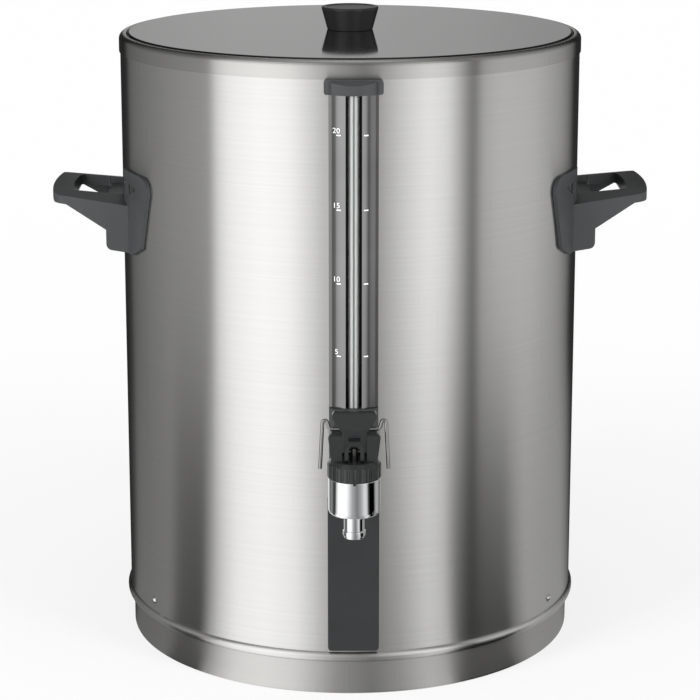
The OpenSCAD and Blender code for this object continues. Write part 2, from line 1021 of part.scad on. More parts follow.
module bonnet() {
    flute_r = 1.5;
    tab_w = 2.4;
    shoulder_z = bonnet_top_z - 3.5;
    color("dimgray")
        at_tap() {
            difference() {
                rotate_extrude()
                    polygon(rounded([
                        [neck_r + 0.1, bonnet_z, 0],
                        [bonnet_r, bonnet_z, 0.6],
                        [bonnet_r, shoulder_z, 1],
                        [bonnet_r - 3, bonnet_top_z, 1],
                        [bonnet_r - 5, bonnet_top_z, 0],
                        [bonnet_r - 5.6, deck_z, 0],
                        [stem_r + shaft_gap, deck_z, 0],
                        [stem_r + shaft_gap, deck_under_z - 6, 0],
                        [5.5, deck_under_z - 6, 0],
                        [5.5, deck_under_z, 0],
                        [neck_r + 0.1, deck_under_z, 0]
                    ]));
                for (i = [0:bonnet_ribs - 1])
                    rotate([0, 0, (i + 0.5) * 360 / bonnet_ribs])
                        translate([bonnet_r + flute_r - 0.7, 0, bonnet_z - 1])
                            cylinder(r = flute_r, h = bonnet_h, $fn = 24);
            }
            cheek();
            mirror([1, 0, 0]) cheek();
            translate([-tab_w / 2, -bonnet_r + 0.1, bonnet_z - 1.8])
                cube([tab_w, bonnet_r - tap_r - 0.3, 3]);
        }
}

module bonnet_seal() {
    color("black")
        at_tap() ring(neck_r - 0.2, chamber_r, neck_top_z, deck_under_z);
}

module valve_stem() {
    color("silver")
        at_tap()
            difference() {
                rotate_extrude($fn = 48)
                    polygon(rounded([
                        [0, cup_z + 3, 0],
                        [stem_r, cup_z + 3, 0],
                        [stem_r, pin_z + 3, 1],
                        [0, pin_z + 3, 0]
                    ]));
                translate([-10, 0, pin_z]) rotate([0, 90, 0])
                    cylinder(r = m3_r + 0.02, h = 20, $fn = 48);
            }
}

module seat_cup() {
    color("ivory")
        at_tap()
            rotate_extrude($fn = 64)
                polygon(rounded([
                    [0, cup_z, 0],
                    [spout_bore / 2 + 3.2, cup_z, 1.2],
                    [spout_bore / 2 + 3.2, cup_top_z - 2.5, 0],
                    [spring_r + 2, cup_top_z - 2.5, 0],
                    [spring_r + 2, cup_top_z, 0],
                    [stem_r + 0.02, cup_top_z, 0],
                    [stem_r + 0.02, cup_z + 2.9, 0],
                    [0, cup_z + 2.9, 0]
                ]));
}

module lever_pin() {
    color("silver")
        at_tap()
            translate([-leg_out + 0.3, 0, pin_z]) rotate([0, 90, 0])
                cylinder(r = m3_r, h = 2 * leg_out - 0.6, $fn = 48);
}

// Points of one ring of a coil's tube, at a given turn
function coil_ring(turn, z, sides) =
    [for (k = [0:sides - 1])
        let (b = 360 * k / sides, r = spring_r + spring_wire * cos(b))
        [r * cos(turn), r * sin(turn), z + spring_wire * sin(b)]];

module valve_spring() {
    sides = 8;
    steps = 20 * spring_turns;
    low = cup_top_z + spring_wire + rest_gap;
    high = deck_under_z - spring_wire - rest_gap;
    points = [for (i = [0:steps])
        each coil_ring(360 * spring_turns * i / steps, low + (high - low) * i / steps, sides)];
    walls = [for (i = [0:steps - 1], k = [0:sides - 1])
        let (a = i * sides + k, b = i * sides + (k + 1) % sides)
        each [[a, a + sides, b], [b, a + sides, b + sides]]];
    ends = [
        [for (k = [0:sides - 1]) k],
        [for (k = [0:sides - 1]) steps * sides + sides - 1 - k]
    ];
    color("silver")
        at_tap() polyhedron(points = points, faces = concat(walls, ends), convexity = 10);
}

// The paddle and fork seen from the front
module lever_front() {
    paddle = paddle_w / 2;
    neck = 10.4;
    neck_z = cheek_top_z + 2.5;
    arch_z = pin_z + 1.8;
    difference() {
        polygon(rounded([
            [-leg_out, pin_z - 6.5, 1],
            [leg_out, pin_z - 6.5, 1],
            [leg_out, neck_z - 2, 1],
            [neck, neck_z, 2],
            [paddle, lever_top_z - 5, 2],
            [paddle, lever_top_z, 3],
            [-paddle, lever_top_z, 3],
            [-paddle, lever_top_z - 5, 2],
            [-neck, neck_z, 2],
            [-leg_out, neck_z - 2, 1]
        ]));
        translate([-leg_in, pin_z - 10]) square([2 * leg_in, arch_z - pin_z + 10]);
        translate([0, arch_z]) circle(r = leg_in, $fn = 48);
        translate([-leg_in, pin_z + 9.5]) square([2 * leg_in, 6]);
    }
}

// The lever seen from the side: front is -y
module lever_side() {
    foot_front = 8.6;
    foot_back = 6;
    polygon(rounded([
        [-foot_front, pin_z - 6.5, 2],
        [foot_back, pin_z - 6.5, 2],
        [4.5, pin_z + 6, 8],
        [1, bail_z + 3.5, 8],
        [-3.5, lever_top_z, 1.5],
        [-8.5, lever_top_z - 0.8, 2],
        [-9, bail_z, 8],
        [-6.5, pin_z + 5, 6]
    ]));
}

module tap_lever() {
    color("dimgray")
        at_tap()
            difference() {
                intersection() {
                    deep(-20, 20) lever_front();
                    wide(-30, 30) lever_side();
                }
                translate([-30, 0, pin_z]) rotate([0, 90, 0])
                    cylinder(r = m3_r + shaft_gap, h = 60, $fn = 48);
                translate([-30, -bail_y, bail_z]) rotate([0, 90, 0])
                    cylinder(r = wire_r + shaft_gap + 0.03, h = 60, $fn = 48);
            }
}

// A wire that runs along local +X and turns in the local XY plane.
// Each step is [length, turn in degrees, radius of the turn].
// Straights are a hair thinner than bends, and their ends stand in them.
module wire_run(steps, r, i = 0) {
    hair = 0.01;
    stand_in = 0.1;
    if (i < len(steps)) {
        length = steps[i][0];
        turn = steps[i][1];
        bend = steps[i][2];
        side = turn > 0 ? 1 : -1;
        back = i > 0 ? stand_in : 0;
        ahead = turn != 0 ? stand_in : 0;
        translate([-back, 0, 0]) rotate([0, 90, 0])
            cylinder(r = r - hair, h = back + length + ahead, $fn = 32);
        translate([length, 0, 0]) {
            if (turn != 0)
                translate([0, side * bend, 0])
                    rotate([0, 0, turn > 0 ? -90 : 90 + turn])
                        rotate_extrude(angle = abs(turn), $fn = 96)
                            translate([bend, 0]) circle(r = r, $fn = 32);
            translate([bend * sin(abs(turn)), side * bend * (1 - cos(turn)), 0])
                rotate([0, 0, turn])
                    wire_run(steps, r, i + 1);
        }
    }
}

module wire_bail() {
    half = [
        [17.5, 75, 2.4],
        [3.6, -162, 1.75],
        [36.4, 0, 0]
    ];
    color("silver")
        at_tap()
            translate([0, -bail_y, bail_z])
                rotate([90, 0, 0]) {
                    wire_run(half, wire_r);
                    mirror([1, 0, 0]) wire_run(half, wire_r);
                }
}

// ---- lid ----

module lid_shell() {
    color("gainsboro")
        rotate_extrude($fn = 180)
            polygon(rounded([
                [m5_r + 0.2, lid_z - lid_t, 0],
                [lid_r - lid_t, lid_z - lid_t, 1],
                [lid_r - lid_t, lid_skirt_z, 0],
                [lid_r, lid_skirt_z, 0],
                [lid_r, lid_z, 2],
                [m5_r + 0.2, lid_z, 0]
            ]));
}

module lid_liner() {
    rim = lid_r - lid_t - move_gap;
    color("lightgray")
        rotate_extrude($fn = 180)
            polygon(rounded([
                [0, liner_floor_z, 0],
                [liner_r, liner_floor_z, 8],
                [liner_r, liner_z, 0],
                [rim, liner_z, 0],
                [rim, lid_skirt_z, 0],
                [liner_r - liner_t, lid_skirt_z, 0],
                [liner_r - liner_t, liner_floor_z + liner_t, 7.2],
                [0, liner_floor_z + liner_t, 0]
            ]));
}

module lid_seal() {
    color("darkslategray")
        ring(lid_r - lid_t - move_gap, seat_in_r - 1.5, seat_z + move_gap, liner_z);
}

module lid_knob() {
    foot = knob_foot_d / 2;
    top = knob_top_d / 2;
    top_z = lid_z + knob_h;
    insert_r = 4.1;
    color("black")
        rotate_extrude($fn = 120)
            polygon(rounded([
                [insert_r, lid_z, 0],
                [foot, lid_z, 0.8],
                [top, top_z - 1.8, 0.5],
                [top, top_z, 0.8],
                [top - 3.5, top_z, 0.6],
                [top - 4.5, top_z - 0.7, 1],
                [0, top_z - 0.7, 0],
                [0, top_z - 5, 0],
                [insert_r, top_z - 5, 0]
            ]));
}

module knob_insert() {
    color("goldenrod")
        ring(4.1 - shaft_gap, m5_r + shaft_gap, lid_z + 0.2, lid_z + knob_h - 6);
}

module knob_washer() {
    color("silver")
        ring(7, m5_r + shaft_gap, lid_z - lid_t - 1.2, lid_z - lid_t);
}

module knob_screw() {
    head_h = 3.2;
    under = lid_z - lid_t - 1.2;
    color("silver") {
        translate([0, 0, under - head_h]) cylinder(r = 4.5, h = head_h, $fn = 48);
        translate([0, 0, under - 1]) cylinder(r = m5_r, h = 13, $fn = 48);
    }
}

outer_shell();
top_collar();
tank_wall();
tank_floor();
insulation_jacket();
insulation_base();
outlet_pipe();
union_nut();
union_seal();
base_pan();
base_screws();
base_nuts();
handle_left();
handle_right();
handle_plates();
handle_screws();
gauge_holder();
gauge_tube();
gauge_cap();
gauge_upper_seal();
gauge_lower_seal();
gauge_base();
tee_seals();
gauge_screws();
gauge_nuts();
cover_strip();
tap_body();
spout();
spout_screw();
shank_washer();
shank_nut();
bonnet();
bonnet_seal();
tap_lever();
lever_pin();
valve_stem();
seat_cup();
valve_spring();
wire_bail();
lid_shell();
lid_liner();
lid_seal();
lid_knob();
knob_insert();
knob_screw();
knob_washer();
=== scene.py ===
"""Looks of the coffee urn: finishes, printed level marks, studio and camera.

Lengths are in metres. The urn stands on the origin with its front towards -Y.
"""

import json
import math

import bpy
from mathutils import Matrix, Vector
from mathutils.bvhtree import BVHTree


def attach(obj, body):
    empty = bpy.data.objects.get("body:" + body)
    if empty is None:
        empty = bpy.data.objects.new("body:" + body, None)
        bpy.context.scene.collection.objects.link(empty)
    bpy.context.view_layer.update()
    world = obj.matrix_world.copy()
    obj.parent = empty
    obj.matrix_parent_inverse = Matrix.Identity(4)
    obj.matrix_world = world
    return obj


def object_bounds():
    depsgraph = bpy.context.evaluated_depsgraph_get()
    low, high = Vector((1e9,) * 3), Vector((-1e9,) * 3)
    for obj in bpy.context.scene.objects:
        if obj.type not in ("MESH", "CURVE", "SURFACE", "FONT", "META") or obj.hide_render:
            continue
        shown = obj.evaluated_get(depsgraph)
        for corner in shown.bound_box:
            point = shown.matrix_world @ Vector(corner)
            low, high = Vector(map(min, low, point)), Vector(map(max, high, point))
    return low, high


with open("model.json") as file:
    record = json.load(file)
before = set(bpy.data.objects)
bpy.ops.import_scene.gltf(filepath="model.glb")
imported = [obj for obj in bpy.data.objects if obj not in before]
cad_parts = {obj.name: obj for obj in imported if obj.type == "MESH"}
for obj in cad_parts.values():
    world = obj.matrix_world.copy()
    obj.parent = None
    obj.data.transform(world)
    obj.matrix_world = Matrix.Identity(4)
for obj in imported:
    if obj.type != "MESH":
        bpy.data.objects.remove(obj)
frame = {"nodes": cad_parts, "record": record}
nodes = frame["nodes"]
cad_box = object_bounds()


# ---- camera ----

# The photograph's width and focal length in pixels, and the camera's sensor in millimetres
IMAGE_SIZE = 700
FOCAL_PIXELS = 2380.4
SENSOR = 36.0

# Where the camera stands: from the urn's axis, above its base and round from its front
CAMERA_DISTANCE = 1.9706
CAMERA_HEIGHT = 0.7483
CAMERA_AZIMUTH = math.radians(-0.8)

# How far it looks down, in radians, and its shift as a share of the picture
CAMERA_PITCH = 0.2293
SHIFT_Y = -0.085


def make_camera():
    """The camera, at the photograph's viewing angle."""
    data = bpy.data.cameras.new("camera")
    data.sensor_width = SENSOR
    data.lens = FOCAL_PIXELS / IMAGE_SIZE * SENSOR
    data.shift_y = SHIFT_Y
    camera = bpy.data.objects.new("camera", data)
    camera.location = (
        CAMERA_DISTANCE * math.sin(CAMERA_AZIMUTH),
        -CAMERA_DISTANCE * math.cos(CAMERA_AZIMUTH),
        CAMERA_HEIGHT,
    )
    camera.rotation_euler = (math.pi / 2 - CAMERA_PITCH, 0, CAMERA_AZIMUTH)
    bpy.context.scene.collection.objects.link(camera)
    bpy.context.scene.camera = camera


# ---- shader nodes ----

# Noise seldom leaves this range, so a drift from low to high is laid over it
NOISE_RANGE = (0.15, 0.85)

# The narrower range over which a noise changes from one colour to the other
TINT_RANGE = (0.3, 0.7)


def add(tree, kind, **settings):
    """A shader node of that kind with its properties set."""
    node = tree.nodes.new("ShaderNode" + kind)
    for key, value in settings.items():
        setattr(node, key, value)
    return node


def fill(node, **values):
    """Sets a node's inputs; an underscore in a name stands for a space."""
    for key, value in values.items():
        node.inputs[key.replace("_", " ")].default_value = value
    return node


def empty_material(name):
    """A material with an empty tree, and the shader socket of its output."""
    material = bpy.data.materials.new(name)
    material.use_nodes = True
    tree = material.node_tree
    tree.nodes.clear()
    return material, tree, add(tree, "OutputMaterial").inputs["Surface"]


def new_finish(name):
    """A material with its tree, its surface shader and the object's own coordinates."""
    material, tree, output = empty_material(name)
    surface = add(tree, "BsdfPrincipled")
    tree.links.new(surface.outputs["BSDF"], output)
    return material, tree, surface, add(tree, "TexCoord").outputs["Object"]


def noise(tree, place, scale=1.0, detail=2.0, stretch=(1, 1, 1)):
    """Noise with scale times stretch waves a metre."""
    mapping = fill(add(tree, "Mapping"), Scale=stretch)
    texture = fill(add(tree, "TexNoise"), Scale=scale, Detail=detail)
    tree.links.new(place, mapping.inputs["Vector"])
    tree.links.new(mapping.outputs["Vector"], texture.inputs["Vector"])
    return texture.outputs["Fac"]


def split_xyz(tree, vector):
    """The outputs X, Y and Z of a vector."""
    split = add(tree, "SeparateXYZ")
    tree.links.new(vector, split.inputs["Vector"])
    return split.outputs


def calculate(tree, operation, *values):
    """The result of a math node whose inputs are sockets or numbers."""
    node = add(tree, "Math", operation=operation)
    for socket, value in zip(node.inputs, values):
        if isinstance(value, bpy.types.NodeSocket):
            tree.links.new(value, socket)
        else:
            socket.default_value = value
    return node.outputs[0]


def remap(tree, value, low, high, first=0.0, last=1.0, easing="LINEAR"):
    """A number that goes from first to last while the value goes from low to high."""
    node = fill(add(tree, "MapRange", interpolation_type=easing), From_Min=low, From_Max=high)
    fill(node, To_Min=first, To_Max=last)
    tree.links.new(value, node.inputs["Value"])
    return node.outputs["Result"]


def multiply(tree, one, other):
    """The product of two colour sockets."""
    mix = add(tree, "Mix", data_type="RGBA", blend_type="MULTIPLY")
    mix.inputs["Factor"].default_value = 1.0
    tree.links.new(one, mix.inputs["A"])
    tree.links.new(other, mix.inputs["B"])
    return mix.outputs["Result"]


def shade(colour, factor):
    """The colour, darker or lighter by that factor."""
    return tuple(min(1, part * factor) for part in colour)


def vary_colour(tree, surface, value, dark, light, over=TINT_RANGE):
    """Gives the surface two colours, which change over that range of the value."""
    ramp = add(tree, "ValToRGB")
    for element, position, colour in zip(ramp.color_ramp.elements, over, (dark, light)):
        element.position = position
        element.color = (*colour, 1)
    tree.links.new(value, ramp.inputs["Fac"])
    tree.links.new(ramp.outputs["Color"], surface.inputs["Base Color"])


def vary_roughness(tree, surface, value, low, high):
    """Lets the surface's roughness drift from low to high with a noise."""
    drift = remap(tree, value, *NOISE_RANGE, low, high, "SMOOTHERSTEP")
    tree.links.new(drift, surface.inputs["Roughness"])


def darken(tree, surface, factor):
    """Multiplies the colour that the surface has by a factor."""
    colour = surface.inputs["Base Color"]
    tree.links.new(multiply(tree, colour.links[0].from_socket, factor), colour)


def bump(tree, surface, height, strength, depth):
    """Adds a bump on top of those that the surface has."""
    node = fill(add(tree, "Bump"), Strength=strength, Distance=depth)
    normal = surface.inputs["Normal"]
    if normal.is_linked:
        tree.links.new(normal.links[0].from_socket, node.inputs["Normal"])
    tree.links.new(height, node.inputs["Height"])
    tree.links.new(node.outputs["Normal"], normal)


# ---- finishes ----

# Half the width of the painted reflection of the bore, a grey line down the middle of the
# gauge glass
BORE_REFLECTION_HALF = 0.0012

# The gauge holder's face: how far its middle is crowned, and half its width
CROWN = 0.0037
HOLDER_HALF = 0.019

# Painted shade of the gap at the lid's edge: its tone, and where it fades, from the edge's
# sharp corner
LID_GAP_SHADE_TONE = 0.1
LID_GAP_SHADE_FADE = (0.0019, 0.0023)


def brushed_round(name, colour, rough, smear=0.94, waves=0.006):
    """Sheet brushed round the Z axis, so that reflections smear up and down."""
    material, tree, surface, place = new_finish(name)
    lines = noise(tree, place, stretch=(3, 3, 800))
    cloud = noise(tree, place, scale=5, detail=1)
    sheet = noise(tree, place, stretch=(22, 22, 0.8))
    vary_colour(tree, surface, lines, shade(colour, 0.985), shade(colour, 1.015))
    vary_roughness(tree, surface, cloud, rough - 0.01, rough + 0.01)
    bump(tree, surface, lines, strength=0.02, depth=0.00003)
    bump(tree, surface, sheet, strength=waves, depth=0.004)
    fill(surface, Metallic=1.0, Anisotropic=smear, Anisotropic_Rotation=0.25)
    tangent = add(tree, "Tangent", direction_type="RADIAL", axis="Z")
    tree.links.new(tangent.outputs["Tangent"], surface.inputs["Tangent"])
    return material


def distance_from_corner(tree, place, mesh):
    """How far a place is from the corner between a round mesh's top and its side."""
    side = max(vertex.co.x for vertex in mesh.vertices)
    top = max(vertex.co.z for vertex in mesh.vertices)
    flat = fill(add(tree, "Mapping"), Scale=(1, 1, 0))
    radius = add(tree, "VectorMath", operation="LENGTH")
    profile = add(tree, "CombineXYZ")
    away = add(tree, "VectorMath", operation="DISTANCE")
    away.inputs[1].default_value = (side, 0, top)
    tree.links.new(place, flat.inputs["Vector"])
    tree.links.new(flat.outputs["Vector"], radius.inputs[0])
    tree.links.new(radius.outputs["Value"], profile.inputs["X"])
    tree.links.new(split_xyz(tree, place)["Z"], profile.inputs["Z"])
    tree.links.new(profile.outputs["Vector"], away.inputs[0])
    return away.outputs["Value"]


def lid_sheet(name, colour, rough):
    """Sheet with fine straight lines along X, with the gap's shade painted nearly black at
    the lid's rolled edge.
    """
    material, tree, surface, place = new_finish(name)
    lines = noise(tree, place, detail=3, stretch=(5, 900, 900))
    cloud = noise(tree, place, scale=6)
    vary_colour(tree, surface, lines, shade(colour, 0.97), shade(colour, 1.03))
    vary_roughness(tree, surface, cloud, rough * 0.8, rough * 1.2)
    away = distance_from_corner(tree, place, nodes["lid_shell"].data)
    # Painted shade: the lid's edge is darkened where the gap to the collar lies in shadow
    darken(tree, surface, remap(tree, away, *LID_GAP_SHADE_FADE, LID_GAP_SHADE_TONE, 1.0))
    bump(tree, surface, lines, strength=0.02, depth=0.00002)
    fill(surface, Metallic=1.0)
    return material


def polished(name, colour, rough):
    """Smooth plated or drawn metal with faint unevenness and rub marks."""
    material, tree, surface, place = new_finish(name)
    cloud = noise(tree, place, scale=60, detail=3)
    marks = noise(tree, place, detail=4, stretch=(700, 700, 90))
    vary_colour(tree, surface, cloud, shade(colour, 0.97), shade(colour, 1.02))
    vary_roughness(tree, surface, marks, rough * 0.7, rough * 1.3)
    bump(tree, surface, cloud, strength=0.02, depth=0.0005)
    fill(surface, Metallic=1.0)
    return material


def moulded(name, colour, rough, gloss=0.5, grain=1400, relief=0.05):
    """Moulded plastic or rubber with a fine grain and slight colour drift."""
    material, tree, surface, place = new_finish(name)
    skin = noise(tree, place, scale=grain, detail=3)
    cloud = noise(tree, place, scale=24, detail=3)
    vary_colour(tree, surface, cloud, shade(colour, 0.93), shade(colour, 1.08))
    vary_roughness(tree, surface, cloud, rough - 0.03, rough + 0.03)
    bump(tree, surface, skin, strength=relief, depth=0.0002)
    fill(surface, Specular_IOR_Level=gloss)
    return material


def opal_glass(name):
    """Milky gauge glass with one fine grey line down its middle, a painted reflection of its
    bore.
    """
    material, tree, surface, place = new_finish(name)
    cloud = noise(tree, place, scale=40)
    vary_roughness(tree, surface, cloud, 0.03, 0.06)
    # Painted reflection: the tube's middle is greyed where its bore would show dark
    aside = calculate(tree, "ABSOLUTE", split_xyz(tree, place)["X"])
    line = remap(tree, aside, BORE_REFLECTION_HALF / 3, BORE_REFLECTION_HALF, easing="SMOOTHSTEP")
    vary_colour(tree, surface, line, (0.18, 0.19, 0.185), (0.6, 0.61, 0.6), over=(0, 1))
    fill(surface, Transmission_Weight=0.45, IOR=1.5, Specular_IOR_Level=0.6)
    return material


def dark_profile(name, colour, rough):
    """Dark anodised profile whose slightly crowned face catches the lights beside it."""
    material, tree, surface, place = new_finish(name)
    cloud = noise(tree, place, scale=24, detail=3)
    drawn = noise(tree, place, detail=3, stretch=(2500, 2500, 6))
    vary_colour(tree, surface, cloud, shade(colour, 0.94), shade(colour, 1.06))
    vary_roughness(tree, surface, cloud, rough * 0.9, rough * 1.1)
    across = calculate(tree, "MULTIPLY", split_xyz(tree, place)["X"], 1 / HOLDER_HALF)
    fall = calculate(tree, "POWER", calculate(tree, "ABSOLUTE", across), 2.0)
    crown = calculate(tree, "SUBTRACT", 1.0, fall)
    bump(tree, surface, crown, strength=1.0, depth=CROWN)
    bump(tree, surface, drawn, strength=0.05, depth=0.00005)
    fill(surface, Metallic=1.0)
    return material


def felt(name, colour):
    """Insulation mat: matt, with soft fibres."""
    material, tree, surface, place = new_finish(name)
    fibres = noise(tree, place, detail=4, stretch=(500, 500, 160))
    cloud = noise(tree, place, scale=30, detail=3)
    vary_colour(tree, surface, cloud, shade(colour, 0.8), shade(colour, 1.15))
    vary_roughness(tree, surface, fibres, 0.85, 1.0)
    bump(tree, surface, fibres, strength=0.6, depth=0.0015)
    bump(tree, surface, cloud, strength=0.4, depth=0.004)
    return material


def printed_white(name):
    """White ink of the level marks."""
    material, tree, surface, place = new_finish(name)
    cloud = noise(tree, place, scale=700, detail=3)
    vary_colour(tree, surface, cloud, (0.72, 0.73, 0.72), (0.86, 0.87, 0.86))
    vary_roughness(tree, surface, cloud, 0.45, 0.6)
    bump(tree, surface, cloud, strength=0.1, depth=0.00005)
    return material


def slot_finishes():
    """One material for each material slot of the record: a colour, then a roughness."""
    return {
        "jacket": brushed_round("jacket", (0.66, 0.655, 0.64), 0.26),
        "rim": brushed_round("rim", (0.54, 0.535, 0.52), 0.25, waves=0.003),
        "base": brushed_round("base", (0.55, 0.545, 0.53), 0.4, smear=0.76),
        "lid_steel": lid_sheet("lid_steel", (0.6, 0.6, 0.59), 0.07),
        "tank_steel": brushed_round("tank_steel", (0.6, 0.595, 0.58), 0.35),
        "fastener": polished("fastener", (0.68, 0.67, 0.66), 0.16),
        "chrome": polished("chrome", (0.86, 0.87, 0.88), 0.06),
        "wire": polished("wire", (0.4, 0.395, 0.39), 0.12),
        "brass": polished("brass", (0.66, 0.5, 0.25), 0.3),
        "anthracite": moulded("anthracite", (0.041, 0.043, 0.044), 0.36, gloss=0.24),
        "tap_black": moulded("tap_black", (0.016, 0.0175, 0.0175), 0.22, gloss=0.45),
        "knob_black": moulded("knob_black", (0.012, 0.012, 0.012), 0.34),
        "seal": moulded("seal", (0.03, 0.03, 0.03), 0.7, gloss=0.3, grain=900, relief=0.15),
        "cup_silicone": moulded(
            "cup_silicone", (0.5, 0.18, 0.12), 0.5, gloss=0.4, grain=900, relief=0.1
        ),
        "glass": opal_glass("glass"),
        "insulation": felt("insulation", (0.55, 0.5, 0.38)),
    }


def node_finishes():
    """Materials of the nodes that differ from the rest of their slot; the valve stem's and
    the lever pin's steel has shade painted into its colour.
    """
    return {
        "gauge_holder": dark_profile("gauge_profile", (0.225, 0.225, 0.225), 0.16),
        "cover_strip": moulded("strip_dark", (0.023, 0.024, 0.0245), 0.4, gloss=0.2),
        # Painted shade: these steel parts are coloured dark to stand for the shadow they lie
        # in inside the tap
        "valve_stem": polished("stem_painted_shade", (0.16, 0.155, 0.15), 0.3),
        "lever_pin": polished("pin_painted_shade", (0.2, 0.195, 0.19), 0.3),
    }


def dress_nodes():
    """Gives every CAD node its own finish, or the one of its slot in the record."""
    by_slot = slot_finishes()
    by_node = node_finishes()
    for part in frame["record"]["subparts"]:
        mesh = nodes[part["node"]].data
        mesh.materials.clear()
        mesh.materials.append(by_node.get(part["node"]) or by_slot[part["material_slot"]])


# ---- printed level marks on the gauge holder ----

# Height of each mark, by its litres
LEVELS = {"20": 0.4556, "15": 0.3984, "10": 0.3413, "5": 0.2843}

# How far the print stands off the holder, and how thick it is
PRINT_LIFT = 0.00006
PRINT_THICK = 0.00005

# Half the thickness at which a print is drawn, before it is laid on the holder
DRAWN_HALF = 1e-4

# The dashes' width and height, and the X of their middles
TICK_SIZE = (0.0034, 0.0009)
TICK_CENTRES = {"left": -0.0114, "right": 0.0094}
TICK_END_STEPS = 6

# The numbers' height, their middle's X and their foot's height over the mark
NUMBER_HEIGHT = 0.0041
NUMBER_CENTRE = -0.0132
NUMBER_RISE = 0.0016

# The font's size for digits of height 1, and how much their outline is drawn in
FONT_SIZE = 1.4
FONT_OFFSET = -0.01


def front_of(node):
    """A function that gives the Y of a node's front at (x, z)."""
    mesh = nodes[node].data
    surface = BVHTree.FromPolygons(
        [tuple(v.co) for v in mesh.vertices], [tuple(p.vertices) for p in mesh.polygons]
    )

    def front_y(x, z):
        return surface.ray_cast(Vector((x, -1, z)), Vector((0, 1, 0)))[0].y

    return front_y


def lay_on(mesh, front_y):
    """Presses a print drawn round Y = 0 on a front, with its back sunk in."""
    for vertex in mesh.vertices:
        y = front_y(vertex.co.x, vertex.co.z) - PRINT_LIFT
        vertex.co.y = y if vertex.co.y < 0 else y + PRINT_THICK


def tick_mesh(name, x, z):
    """A short bar with rounded ends."""
    half_width, half_height = TICK_SIZE[0] / 2, TICK_SIZE[1] / 2
    outline = []
    for side in (1, -1):
        for i in range(TICK_END_STEPS + 1):
            turn = math.pi * (i / TICK_END_STEPS - 0.5)
            outline.append((
                x + side * (half_width - half_height + half_height * math.cos(turn)),
                z + side * half_height * math.sin(turn),
            ))
    count = len(outline)
    points = [(px, y, pz) for y in (-DRAWN_HALF, DRAWN_HALF) for px, pz in outline]
    faces = [tuple(range(count)), tuple(range(2 * count - 1, count - 1, -1))]
    for i in range(count):
        j = (i + 1) % count
        faces.append((j, i, count + i, count + j))
    mesh = bpy.data.meshes.new(name)
    mesh.from_pydata(points, [], faces)
    return mesh


def number_mesh(name, text, x, z):
    """Digits that stand upright and face -Y."""
    curve = bpy.data.curves.new(name + "_text", "FONT")
    curve.body = text
    curve.size = NUMBER_HEIGHT * FONT_SIZE
    curve.extrude = DRAWN_HALF
    curve.offset = NUMBER_HEIGHT * FONT_OFFSET
    curve.align_x = "CENTER"
    curve.resolution_u = 6
    holder = bpy.data.objects.new(name + "_text", curve)
    bpy.context.scene.collection.objects.link(holder)
    bpy.context.view_layer.update()
    evaluated = holder.evaluated_get(bpy.context.evaluated_depsgraph_get())
    mesh = bpy.data.meshes.new_from_object(evaluated)
    bpy.data.objects.remove(holder)
    stand = Matrix.Rotation(math.pi / 2, 4, "X")
    mesh.transform(Matrix.Translation((x, 0, z)) @ stand)
    mesh.name = name
    return mesh


def make_prints():
    """The dashes and numbers, which ride on the vessel."""
    ink = printed_white("print_white")
    holder_y = front_of("gauge_holder")

    def place(mesh):
        lay_on(mesh, holder_y)
        mesh.materials.clear()
        mesh.materials.append(ink)
        piece = bpy.data.objects.new(mesh.name, mesh)
        bpy.context.scene.collection.objects.link(piece)
        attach(piece, "vessel")

    for litres, z in LEVELS.items():
        for side, x in TICK_CENTRES.items():
            place(tick_mesh(f"tick_{litres}_{side}", x, z))
        place(number_mesh(f"number_{litres}", litres, NUMBER_CENTRE, z + NUMBER_RISE))


# ---- studio: world and floor ----

# Level of the soft light from all round
FILL_LEVEL = 0.38

FLOOR_RADIUS = 8.0

# How white the floor looks: a share of FLOOR_FADE metres from the middle, then a level
FLOOR_FADE = 2.0
FLOOR_GLOW = [(0.0, 0.72), (0.15, 0.78), (0.5, 0.97), (1.0, 0.99)]


def background_ray(tree):
    """1 for rays that see the plain white background, by eye, mirror or glass."""
    rays = add(tree, "LightPath").outputs
    seen = calculate(tree, "MAXIMUM", rays["Is Camera Ray"], rays["Is Glossy Ray"])
    return calculate(tree, "MAXIMUM", seen, rays["Is Transmission Ray"])


def mix_shaders(tree, share, one, other, output):
    """Leads a mix of two shader nodes, with that share of the other one, to the output."""
    mix = add(tree, "MixShader")
    tree.links.new(share, mix.inputs["Fac"])
    tree.links.new(one.outputs[0], mix.inputs[1])
    tree.links.new(other.outputs[0], mix.inputs[2])
    tree.links.new(mix.outputs[0], output)


def level_ramp(tree, factor, stops, peak=1.0):
    """A grey ramp through (place from 0 to 1, level) stops, as a share of the peak."""
    ramp = add(tree, "ValToRGB")
    tree.links.new(factor, ramp.inputs["Fac"])
    elements = ramp.color_ramp.elements
    elements[0].position, elements[-1].position = stops[0][0], stops[-1][0]
    for place, _ in stops[1:-1]:
        elements.new(place)
    for element, (_, level) in zip(elements, stops):
        element.color = (level / peak, level / peak, level / peak, 1)
    return ramp.outputs["Color"]


def distance_from_middle(tree, farthest):
    """0 at the object's middle and 1 at that many metres."""
    place = add(tree, "TexCoord")
    length = add(tree, "VectorMath", operation="LENGTH")
    tree.links.new(place.outputs["Object"], length.inputs[0])
    return remap(tree, length.outputs["Value"], 0.0, farthest)


def disc_mesh(name, radius, sides=96):
    """A level disc round the origin."""
    mesh = bpy.data.meshes.new(name)
    turns = [2 * math.pi * i / sides for i in range(sides)]
    points = [(radius * math.cos(turn), radius * math.sin(turn), 0) for turn in turns]
    mesh.from_pydata(points, [], [tuple(range(sides))])
    return mesh


